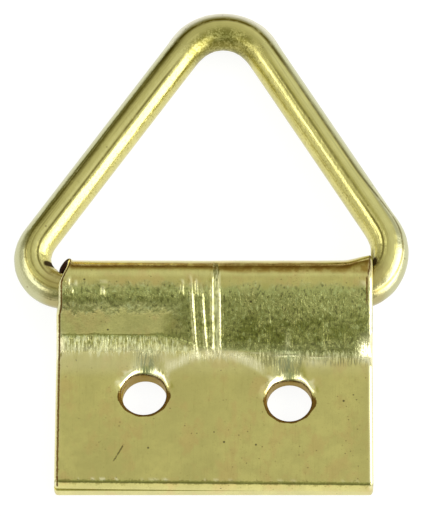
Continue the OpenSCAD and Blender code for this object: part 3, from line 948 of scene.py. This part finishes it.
def bright_brassed_sheet(name, brass):
    """Bright-dipped brass plating on cold-rolled, pressed sheet: a pale, slightly green gold that
    mirrors the lamps, broken up by the rollers' and the press's fine lines. Painted highlights
    whiten its rims, crease and marks, and painted shade and dark reflections darken its slope, hem,
    crown and the holes' rims. The insides of the fold are dull and painted brown as shade, and the
    sheared steel in the holes is brown."""
    material = bpy.data.materials.new(name)
    tree = emptied(material)
    where = add(tree, "ShaderNodeTexCoord").outputs["Object"]
    x, y = split(where, 2, MM)
    rubbed_lit_share, dragged_and_shaded, painted_glint, edge, inner, bore, brown = looked_up(
        tree, "rubbed_and_highlit", "dragged_and_shaded", "painted_glint", "hem", "inner", "bore", "dark_edges_and_shade"
    )
    # Grain: lines down the strip where the press dragged it, a fine orange peel where it was
    # stretched, and wide clouds where the dip took unevenly
    lines = grain(where, (0.075, 1.3, 0.9))
    streaks = grain(where, (0.10, 0.75, 0.6), 3.0, 0.62)
    peel = grain(where, (0.14, 0.19, 0.19), 2.0, 0.6)
    cloud = grain(where, (2.2, 2.6, 2.6))
    warm = grain(where, (1.1, 1.7, 1.7), 3.0, 0.6)
    mottle = grain(where, (0.55, 0.6, 0.6), 3.0, 0.6)
    even = grain(where, (0.12, 0.12, 0.12), 2.0, 0.6)
    speckle = even - 0.5
    # The stretched slope from the crown of the barrel down to the crease. Its left half was
    # burnished plain again by the tool
    aside = x.step(-1.5, 0.5)
    top = y + (mottle * (1.2 * MM) + aside * (0.12 * MM))
    foot = y + x.step(0.0, 8.6, 0.0, 0.45 * MM)
    smoothed = (
        (x + mottle * (1.0 * MM)).step(-0.9, -2.7)
        * (y + mottle * (0.5 * MM)).step(3.86, 4.06)
        * (y + mottle * (0.9 * MM)).step(5.35, 4.85)
    )
    slope = foot.step(2.65, 2.9) * top.step(6.80, 6.30) * smoothed.step(0.0, 1.0, 1.0, 0.10)
    # Its plating has cracked, and painted shade darkens it in patches, most of all low down and on
    # the right
    crack = grain(where, (0.15, 0.24, 0.24), 3.0, 0.62)
    patchy = grain(where, (0.9, 0.5, 0.5), 2.0, 0.6)
    specks = grain(where, (0.16, 0.26, 0.26), 1.0, 0.5)
    low = x.step(-1.2, -0.2) * y.step(4.9, 3.8)
    deeper = y.step(5.2, 4.0, 0.35, 1.0).larger(x.step(-0.5, -1.5, 0.0, 0.75))
    cracked_and_shaded = patchy.step(0.40, 0.62, 0.0, 0.50).maths("ADD", low * 0.32, clamp=True)
    # Between the two widest marks it stayed bright, and a painted dark reflection runs brown along
    # the crown's far side
    strip = (
        x.step(-0.09, -0.03) * x.step(0.24, 0.18) * y.step(2.85, 3.05) * y.step(6.9, 6.5)
        * streaks.step(0.3, 0.6, 0.6, 1.0)
    )
    crown_dark_reflection = (y + x.step(-1.5, 1.5, 0.0, 0.34 * MM)).step(6.80, 7.12) * y.step(7.50, 7.36)
    chosen = grain(where, (1.1, 1.1, 1.1), 1.0).step(0.53, 0.58)
    # A short slanted scratch on the left of the flat
    off = (x - (y + 3.3) * 0.55 + 5.35).maths("ABSOLUTE")
    scratch = (
        off.step(0.07, 0.03) * y.step(-3.95, -3.85) * y.step(-2.85, -2.95) * even.step(0.35, 0.5)
    )
    # Rubbed metal, paler as a painted highlight, with dull streaks that the tool missed, and more
    # of them right of the forming lines at the foot of the slope
    rubbed_and_highlit = rubbed_lit_share.step(0.0, 0.25) * (rubbed_lit_share + (streaks - 0.5) * 2.2).step(0.15, 0.95)
    uneven = grain(where, (0.8, 0.4, 0.4), 2.0).step(0.4, 0.6, 0.35, 1.0)
    missed = (streaks - aside * 0.14).step(0.50, 0.38, 0.0, 0.80)
    gaps = x.step(0.8, 2.2) * y.step(1.7, 2.1) * y.step(2.8, 2.6)
    # Dark lines along the barrel's ends and painted shade on the holes' rims, with a ragged edge.
    # What shows inside the left mouth is matt and painted dark as shade
    dark_edges_and_shade = (brown + speckle * 1.1).step(0.25, 0.75)
    mouth_shade = brown.step(1.2, 1.8)
    tone = layered(
        mixed(cloud.step(0.3, 0.7), tinted(brass, 0.93), tinted(brass, 1.09)),
        (tinted(brass, 0.84), mottle.step(0.35, 0.7) * 0.48),
        ("D3B878", warm.step(0.48, 0.66) * 0.45),
        ("A8A35C", lines.step(0.52, 0.68) * 0.13),
        # Stretched metal is greener, with dark cracks, painted shade and pale specks
        ("BFC48C", slope * 0.5),
        ("84863F", slope * cracked_and_shaded * deeper),
        ("6A6A34", crack.step(0.46, 0.66) * slope * deeper * 0.55),
        ("4A4820", specks.step(0.58, 0.70) * slope * 0.5),
        ("DCE0A8", specks.step(0.42, 0.30) * slope * 0.45),
        ("E2DFA6", strip * 0.65),
        ("9C8038", crown_dark_reflection * mottle.step(0.35, 0.6, 0.5, 0.95)),
        # Pits: tiny dark specks where the plating is broken
        ("4E4426", pits(where, 0.8, 0.10, 0.06) * chosen * 0.8),
        ("6E6230", pits(where, 0.42, 0.13, 0.07) * warm.step(0.46, 0.54) * 0.55),
        ("5A4E24", scratch * 0.75),
        # Rubbed metal is paler and greyer, with a painted highlight along the crease; over the
        # holes lies a painted dark reflection, and painted highlights shine nearly white on the
        # rims, the crease's ends, the marks and the hem
        ("EAECBE", rubbed_and_highlit * streaks.step(0.46, 0.60, 0.0, 0.66) * (1.0 - aside * 0.4)),
        ("6E7036", rubbed_and_highlit * uneven * missed),
        ("6E7036", gaps * streaks.step(0.54, 0.42, 0.0, 0.75)),
        ("848E62", dragged_and_shaded * streaks.step(0.58, 0.42, 0.45, 1.0)),
        ("FFF9CC", painted_glint * 0.85),
        # The hem is darker, and the barrel's and the holes' insides are brown
        # Painted shade darkens the hem's edge and browns the barrel's insides; the holes' sheared
        # walls are brown, painted shade lies on their rims and in the left mouth, and dark lines
        # run along the barrel's ends
        ("6A6014", (edge + speckle * 2.4).step(0.25, 0.85) * 0.44),
        ("4A3210", inner.step(0.55, 0.95)),
        ("9B7E2B", bore * 0.9),
        ("64440C", dark_edges_and_shade * 0.95),
        ("40200C", mouth_shade),
    )
    height = (
        streaks * (rubbed_lit_share * 2.3 + dragged_and_shaded * 1.3) + lines * (slope * 0.6 + 0.05)
        + peel * (slope * 0.80 + 0.06) + mottle * 0.35
    )
    rough = (
        peel * 0.08 + slope * 0.08 + (dark_edges_and_shade * 0.5).larger(mouth_shade) * 0.6 + rubbed_and_highlit * 0.13
        + inner.larger(bore) * 0.35
    )
    metal_surface(tree, tone, rough.maths("ADD", 0.12, clamp=True), height, 0.022)
    return material


# The brown lines that the die left along the wire: degrees round it, half width in degrees,
# from and to along it, and share.
STRIPES = [
    (67, 5.5, 4, 22, 0.72), (62, 12.0, 22, 32, 1.0), (62, 7.5, 32, 52, 0.78),
    (69, 17.0, 9, 25, 0.50), (108, 6.5, 6, 23, 0.85), (101, 7.0, 31, 41, 0.55),
    (111, 6.5, 41, 48, 0.80), (84, 4.0, 5, 12, 0.45),
]


def bright_brassed_wire(name, brass):
    """Bright brass plating on drawn steel wire: long die lines run round the ring, and the
    bends carry the forming tool's scuffs."""
    material = bpy.data.materials.new(name)
    tree = emptied(material)
    where = add(tree, "ShaderNodeTexCoord").outputs["Object"]
    along, turn = split(add(tree, "ShaderNodeUVMap", {"uv_map": "wire"}).outputs[0], 2)
    bent, mouth, dark = looked_up(tree, "bent", "mouth", "dark")
    angle = turn * (2 * math.pi)
    # The wire's own coordinates: round it by sine and cosine, so that no seam shows, and along
    # it drawn out, so that the noise runs in lines
    drawn = add(
        tree, "ShaderNodeCombineXYZ", i0=angle.maths("COSINE") * 9.0,
        i1=angle.maths("SINE") * 9.0, i2=along * 0.22,
    )
    lines = noise(drawn.outputs[0], 3.0, 0.6)
    fine = grain(where, (0.10, 0.10, 0.10), 2.0, 0.65)
    mottle = grain(where, (0.5, 0.5, 0.5), 3.0, 0.6)
    cloud = grain(where, (1.6, 1.6, 1.6), 2.0)
    facing = (angle - math.radians(5)).maths("COSINE")
    # The die's lines drift round the wire: inward at the apex, outward round the right corner
    high = along.step(APEX - 5, APEX) * along.step(APEX + 5, APEX) * (7 / 360)
    far = along.step(RIGHT_BEND - 3, RIGHT_BEND + 1) * (19 / 360)

    def line(at, soft, start, end, share):
        """A stripe at so many degrees round the wire, between two places along it."""
        place = turn - high
        if at < 80:
            place = place + far
        across = (place - at / 360).maths("ABSOLUTE").step(soft / 360, 0.0)
        return across * along.step(start, start + 3) * along.step(end + 3, end) * share

    marked = functools.reduce(Value.larger, (line(*stripe) for stripe in STRIPES))
    # The apex carries a painted highlight on its outer side, and on its inner side the bending
    # pin's dull scuffs with painted shade
    apex = along.step(APEX - 3.8, APEX - 1.8) * along.step(APEX + 3.8, APEX + 1.8)
    speckled = mottle + (fine - 0.5) * 1.2
    tone = layered(
        mixed(cloud.step(0.3, 0.7), tinted(brass, 0.93), tinted(brass, 1.05)),
        (tinted(brass, 0.72), lines.step(0.5, 0.66) * 0.45),
        # The outer side is painted a paler grey, a painted reflection, up to the die's thin brown
        # lines
        ("C2C29C", facing.step(0.45, 0.62) * 0.85),
        ("625606", marked * mottle.step(0.3, 0.5, 0.55, 1.0)),
        # Dark specks along the inner side, painted brown shade by the barrel's mouths, and the dark
        # nick and painted shade behind the right mouth
        ("8A7A34", fine.step(0.55, 0.66) * facing.step(-0.35, -0.6) * 0.55),
        ("A69558", mouth * 0.6),
        ("34200A", dark * 0.95),
        ("ECE8D6", apex * facing.step(0.58, 0.70) * 0.75),
        ("827C38", apex * facing.step(0.40, 0.12) * 0.28),
        ("7A7432", apex * speckled.step(0.25, 0.62) * facing.step(0.12, -0.36) * 0.85),
        ("6A5828", pits(where, 0.9, 0.09, 0.05) * 0.5),
    )
    height = lines * 0.55 + mottle * 0.9 + fine * (bent * 0.30 + 0.22)
    rough = lines * 0.10 + bent * 0.08 + apex * 0.16 + dark * 0.6
    metal_surface(tree, tone, rough.maths("ADD", 0.11, clamp=True), height, 0.02)
    return material


# The room behind and above the camera by how far a direction points along y, and what is
# seen in single directions: turn from +Y towards +X and height, both in degrees, the patch's
# inner and outer reach in degrees, and its colour.
ROOM = [
    (-1.0, (0.95, 0.95, 0.93)), (-0.948, (0.58, 0.62, 0.57)), (-0.915, (0.36, 0.39, 0.28)),
    (-0.86, (0.30, 0.33, 0.22)), (-0.73, (0.30, 0.33, 0.19)), (-0.59, (0.39, 0.435, 0.30)),
    (-0.42, (0.50, 0.56, 0.42)), (-0.20, (0.57, 0.62, 0.48)), (-0.02, (0.63, 0.65, 0.53)),
    (0.14, (0.67, 0.67, 0.59)), (0.42, (0.67, 0.67, 0.58)), (0.80, (0.68, 0.68, 0.60)),
    (0.90, (0.56, 0.53, 0.38)), (0.96, (0.36, 0.29, 0.14)), (1.0, (0.26, 0.19, 0.07)),
]
PATCHES = [
    (-30, 16, 6, 27, (0.25, 0.235, 0.09)),
    (-38, 64, 2, 10, (0.48, 0.49, 0.28)),
    (22, 40, 12, 26, (0.83, 0.86, 0.86)),
    (50, 60, 8, 18, (0.88, 0.90, 0.92)),
]


def studio_world(right_lamp, left_lamp):
    """Soft light by direction: a pale ceiling, the dim side of the room behind the camera, a
    large lamp on the right and a smaller one on the left. The camera sees plain white."""
    world = bpy.data.worlds.new("studio")
    bpy.context.scene.world = world
    tree = emptied(world)
    way = add(tree, "ShaderNodeTexCoord").outputs["Generated"]
    x, y, z = split(way, 3)
    level = ramp((y + 1.0) * 0.5, [((place + 1) / 2, tint) for place, tint in ROOM])
    aside = x.maths("ABSOLUTE").step(0.35, 0.8) * y.step(0.45, 0.1)
    level = layered(level, ((0.80, 0.80, 0.72), aside))
    for turn, high, inner, outer, tint in PATCHES:
        turn, high, inner, outer = map(math.radians, (turn, high, inner, outer))
        there = (math.cos(high) * math.sin(turn), math.cos(high) * math.cos(turn), math.sin(high))
        dot = add(tree, "ShaderNodeVectorMath", {"operation": "DOT_PRODUCT"}, i0=way, i1=there)
        share = Value(dot.outputs["Value"]).step(math.cos(outer), math.cos(inner))
        level = layered(level, (tint, share))

    def lamp(side, low_z, top_z, soft, front_y, back_y):
        """A soft-edged rectangle of light on one side."""
        return (
            z.step(low_z, low_z + soft) * z.step(top_z + soft, top_z)
            * y.step(front_y - 0.12, front_y) * y.step(back_y + 0.12, back_y)
            * x.step(0.0, 0.1 * side)
        )

    lamps = lamp(1, -0.02, 0.69, 0.08, -0.58, 0.40) * right_lamp
    lamps = lamps + lamp(-1, 0.53, 0.71, 0.10, -0.50, 0.40) * left_lamp
    lit = add(tree, "ShaderNodeVectorMath", {"operation": "ADD"}, i0=level, i1=lamps)
    light = add(tree, "ShaderNodeBackground", Color=lit.outputs[0], Strength=1.0)
    white = add(tree, "ShaderNodeBackground", Color=(1, 1, 1, 1), Strength=1.0)
    seen = add(tree, "ShaderNodeLightPath").outputs["Is Camera Ray"]
    mix = add(tree, "ShaderNodeMixShader", i0=seen, i1=light.outputs[0], i2=white.outputs[0])
    add(tree, "ShaderNodeOutputWorld", Surface=mix.outputs[0])


def white_paper(name):
    """Matt white paper. The eye and the metal see it white, and it keeps the soft shadow."""
    material = bpy.data.materials.new(name)
    tree = emptied(material)
    rays = add(tree, "ShaderNodeLightPath").outputs
    camera, glossy, through = (
        Value(rays[kind]) for kind in ("Is Camera Ray", "Is Glossy Ray", "Is Transmission Ray")
    )
    seen = camera.larger(glossy).larger(through)
    matt = add(tree, "ShaderNodeBsdfDiffuse", Color=(*linear("F4F4F2"), 1))
    white = add(tree, "ShaderNodeEmission", Color=(1, 1, 1, 1), Strength=1.12)
    mix = add(
        tree, "ShaderNodeMixShader", i0=seen * 0.8, i1=matt.outputs[0], i2=white.outputs[0]
    )
    add(tree, "ShaderNodeOutputMaterial", Surface=mix.outputs[0])
    return material


# ---- operators


def in_mm(group):
    """A property group's numbers, lengths in millimetres and angles in radians."""
    values = SimpleNamespace()
    for key, prop in group.bl_rna.properties.items():
        if prop.type == "FLOAT" and not prop.is_array:
            value = getattr(group, key)
            setattr(values, key, value / MM if prop.unit == "LENGTH" else value)
    return values


class HANGER_OT_plate(bpy.types.Operator):
    """Make the folded plate"""

    bl_idname = "hanger.plate"
    bl_label = "Folded plate"

    def execute(self, context):
        sizes = context.scene.hanger_plate
        p = in_mm(sizes)
        # The holes are placed from the plate's middle, whose shift is taken off at the end
        p.hole_x = [p.shift - p.hole_spacing / 2, p.shift + p.hole_spacing / 2]
        p.hole_y = [p.hole_skew / 2, -p.hole_skew / 2]
        points, quads, looks = plate_mesh(p)
        piece = make_piece("folded_plate_skin", points, quads, looks)
        sheet = bright_brassed_sheet("bright_brassed_sheet", tuple(sizes.brass))
        piece.data.materials.append(sheet)
        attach(piece, "plate")
        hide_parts("folded_plate")
        return {"FINISHED"}


class HANGER_OT_ring(bpy.types.Operator):
    """Make the wire ring"""

    bl_idname = "hanger.ring"
    bl_label = "Wire ring"

    def execute(self, context):
        sizes = context.scene.hanger_ring
        p, plate = in_mm(sizes), in_mm(context.scene.hanger_plate)
        vars(p).update(BENDS, bar_y=plate.bar_y, bar_z=plate.bar_z, shift=plate.shift)
        points, quads, uv, looks = ring_mesh(p)
        piece = make_piece("wire_ring", points, quads, looks)
        layer = piece.data.uv_layers.new(name="wire")
        layer.data.foreach_set("uv", uv.astype(np.float32).ravel())
        wire = bright_brassed_wire("bright_brassed_wire", tuple(sizes.brass))
        piece.data.materials.append(wire)
        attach(piece, "ring")
        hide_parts("triangle_ring")
        return {"FINISHED"}


class HANGER_OT_studio(bpy.types.Operator):
    """Make the paper, the light and the camera"""

    bl_idname = "hanger.studio"
    bl_label = "Studio"

    def execute(self, context):
        s = context.scene.hanger_studio
        scene = context.scene
        scene.view_settings.view_transform = "Standard"
        studio_world(s.right_lamp, s.left_lamp)
        # Two metres of paper each way, a hundredth of a millimetre under the hanger
        corners = np.array([(-2000, -2000), (2000, -2000), (2000, 2000), (-2000, 2000)])
        corners = np.column_stack([corners, np.full(4, -0.01)])
        paper = make_piece("paper", corners, np.array([[0, 1, 2, 3]]))
        paper.data.materials.append(white_paper("white_paper"))
        camera = bpy.data.objects.new("camera", bpy.data.cameras.new("camera"))
        scene.collection.objects.link(camera)
        camera.data.lens = s.lens
        camera.data.sensor_width = 36.0
        away = s.frame_height / camera.data.sensor_width * s.lens
        aim = np.array([-0.203, 8.57, 1.0]) * MM
        back = np.array([0, -math.sin(s.tilt), math.cos(s.tilt)])
        camera.location = aim + back * away
        camera.rotation_euler = (s.tilt, 0, 0)
        camera.data.clip_start, camera.data.clip_end = 0.05, 20
        scene.camera = camera
        return {"FINISHED"}


class HANGER_PT_panel(bpy.types.Panel):
    """Lists the hanger's sizes and steps"""

    bl_idname = "HANGER_PT_panel"
    bl_label = "Picture Hanger"
    bl_space_type = "VIEW_3D"
    bl_region_type = "UI"
    bl_category = "Hanger"

    def draw(self, context):
        for title, group, step in STEPS:
            box = self.layout.box()
            box.label(text=title)
            settings = getattr(context.scene, group)
            for key in settings.__annotations__:
                box.prop(settings, key)
            box.operator(step)


STEPS = [
    ("Plate", "hanger_plate", "hanger.plate"),
    ("Ring", "hanger_ring", "hanger.ring"),
    ("Studio", "hanger_studio", "hanger.studio"),
]
GROUPS = {
    "hanger_plate": HangerPlateSizes,
    "hanger_ring": HangerRingSizes,
    "hanger_studio": HangerStudio,
}
CLASSES = [*GROUPS.values(), HANGER_OT_plate, HANGER_OT_ring, HANGER_OT_studio, HANGER_PT_panel]


def register():
    for cls in CLASSES:
        bpy.utils.register_class(cls)
    for name, group in GROUPS.items():
        setattr(bpy.types.Scene, name, bpy.props.PointerProperty(type=group))


def unregister():
    for name in GROUPS:
        delattr(bpy.types.Scene, name)
    for cls in reversed(CLASSES):
        bpy.utils.unregister_class(cls)


def main():
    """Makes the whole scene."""
    register()
    bpy.ops.hanger.plate()
    bpy.ops.hanger.ring()
    bpy.ops.hanger.studio()


if __name__ == "__main__":
    main()
